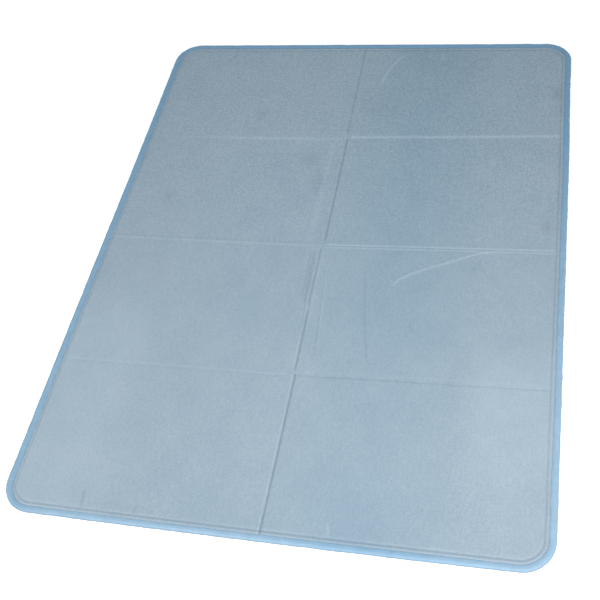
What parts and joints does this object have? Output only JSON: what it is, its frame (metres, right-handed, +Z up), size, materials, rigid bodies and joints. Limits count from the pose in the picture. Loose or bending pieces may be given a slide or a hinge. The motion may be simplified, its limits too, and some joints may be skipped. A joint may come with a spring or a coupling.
{
  "type": "folding cooling mat",
  "caption": "Thin soft rectangular cooling mat with a bound edge, pressed into panels by a centre crease and cross creases, along which it folds up into a flat pack.",
  "frame": {"origin": "centre of the mat's underside, on the surface it lies on", "axes": "+X across the mat, to the right as seen from the near edge; +Y along the mat, from the near edge to the far edge; +Z up, out of the face cloth"},
  "size_m": [0.9, 1.2, 0.007],
  "materials": {
    "face_cloth": "fine ribbed cool-touch knit with a slight sheen",
    "back_cloth": "plain woven backing",
    "binding_tape": "folded satin-faced tape",
    "thread": "twisted polyester thread",
    "foam": "open-cell foam",
    "gel_film": "gel sealed in soft film"
  },
  "bodies": {
    "panel_r1": {"face_cloth_r1": "face_cloth", "gel_pack_r1": "gel_film", "foam_pad_r1": "foam", "back_cloth_r1": "back_cloth", "edge_binding_r1": "binding_tape", "edge_stitching_r1": "thread"},
    "panel_r2": {"face_cloth_r2": "face_cloth", "gel_pack_r2": "gel_film", "foam_pad_r2": "foam", "back_cloth_r2": "back_cloth", "edge_binding_r2": "binding_tape", "edge_stitching_r2": "thread"},
    "panel_r3": {"face_cloth_r3": "face_cloth", "gel_pack_r3": "gel_film", "foam_pad_r3": "foam", "back_cloth_r3": "back_cloth", "edge_binding_r3": "binding_tape", "edge_stitching_r3": "thread"},
    "panel_r4": {"face_cloth_r4": "face_cloth", "gel_pack_r4": "gel_film", "foam_pad_r4": "foam", "back_cloth_r4": "back_cloth", "edge_binding_r4": "binding_tape", "edge_stitching_r4": "thread"},
    "panel_l1": {"face_cloth_l1": "face_cloth", "gel_pack_l1": "gel_film", "foam_pad_l1": "foam", "back_cloth_l1": "back_cloth", "edge_binding_l1": "binding_tape", "edge_stitching_l1": "thread"},
    "panel_l2": {"face_cloth_l2": "face_cloth", "gel_pack_l2": "gel_film", "foam_pad_l2": "foam", "back_cloth_l2": "back_cloth", "edge_binding_l2": "binding_tape", "edge_stitching_l2": "thread"},
    "panel_l3": {"face_cloth_l3": "face_cloth", "gel_pack_l3": "gel_film", "foam_pad_l3": "foam", "back_cloth_l3": "back_cloth", "edge_binding_l3": "binding_tape", "edge_stitching_l3": "thread"},
    "panel_l4": {"face_cloth_l4": "face_cloth", "gel_pack_l4": "gel_film", "foam_pad_l4": "foam", "back_cloth_l4": "back_cloth", "edge_binding_l4": "binding_tape", "edge_stitching_l4": "thread"},
    "crease_r12": {"crease_strip_r12": "face_cloth", "crease_binding_r12": "binding_tape"},
    "crease_r34": {"crease_strip_r34": "face_cloth", "crease_binding_r34": "binding_tape"},
    "crease_l12": {"crease_strip_l12": "face_cloth", "crease_binding_l12": "binding_tape"},
    "crease_l34": {"crease_strip_l34": "face_cloth", "crease_binding_l34": "binding_tape"}
  },
  "joints": [
    {"name": "centre_fold", "type": "hinge", "parent": "panel_r1", "child": "panel_l1", "pos_m": [0, -0.45, 0.00715], "axis": [0, 1, 0], "range_deg": [0, 180]},
    {"name": "centre_fold_row_2", "type": "hinge", "parent": "panel_r2", "child": "panel_l2", "pos_m": [0, -0.15, 0.00715], "axis": [0, 1, 0], "range_deg": [0, 180]},
    {"name": "centre_fold_row_3", "type": "hinge", "parent": "panel_r3", "child": "panel_l3", "pos_m": [0, 0.15, 0.00715], "axis": [0, 1, 0], "range_deg": [0, 180]},
    {"name": "centre_fold_row_4", "type": "hinge", "parent": "panel_r4", "child": "panel_l4", "pos_m": [0, 0.45, 0.00715], "axis": [0, 1, 0], "range_deg": [0, 180]},
    {"name": "centre_fold_near_crease", "type": "hinge", "parent": "crease_r12", "child": "crease_l12", "pos_m": [0, -0.3, 0.00715], "axis": [0, 1, 0], "range_deg": [0, 180], "deforming": ["crease_strip_l12", "crease_binding_l12"]},
    {"name": "centre_fold_far_crease", "type": "hinge", "parent": "crease_r34", "child": "crease_l34", "pos_m": [0, 0.3, 0.00715], "axis": [0, 1, 0], "range_deg": [0, 180], "deforming": ["crease_strip_l34", "crease_binding_l34"]},
    {"name": "row_fold", "type": "hinge", "parent": "panel_r1", "child": "crease_r12", "pos_m": [0.225, -0.3073, 0.00715], "axis": [1, 0, 0], "range_deg": [0, 90]},
    {"name": "row_fold_near_upper", "type": "hinge", "parent": "crease_r12", "child": "panel_r2", "pos_m": [0.225, -0.2927, 0.00715], "axis": [1, 0, 0], "range_deg": [0, 90]},
    {"name": "row_fold_middle", "type": "hinge", "parent": "panel_r2", "child": "panel_r3", "pos_m": [0.225, 0, -0.00015], "axis": [-1, 0, 0], "range_deg": [0, 180]},
    {"name": "row_fold_far_lower", "type": "hinge", "parent": "panel_r3", "child": "crease_r34", "pos_m": [0.225, 0.2927, 0.00715], "axis": [1, 0, 0], "range_deg": [0, 90]},
    {"name": "row_fold_far_upper", "type": "hinge", "parent": "crease_r34", "child": "panel_r4", "pos_m": [0.225, 0.3073, 0.00715], "axis": [1, 0, 0], "range_deg": [0, 90]}
  ],
  "couplings": [
    {"joint": "centre_fold_row_2", "follows": "centre_fold", "ratio": 1},
    {"joint": "centre_fold_row_3", "follows": "centre_fold", "ratio": 1},
    {"joint": "centre_fold_row_4", "follows": "centre_fold", "ratio": 1},
    {"joint": "centre_fold_near_crease", "follows": "centre_fold", "ratio": 1},
    {"joint": "centre_fold_far_crease", "follows": "centre_fold", "ratio": 1},
    {"joint": "row_fold_near_upper", "follows": "row_fold", "ratio": 1},
    {"joint": "row_fold_middle", "follows": "row_fold", "ratio": 2},
    {"joint": "row_fold_far_lower", "follows": "row_fold", "ratio": 1},
    {"joint": "row_fold_far_upper", "follows": "row_fold", "ratio": 1}
  ]
}
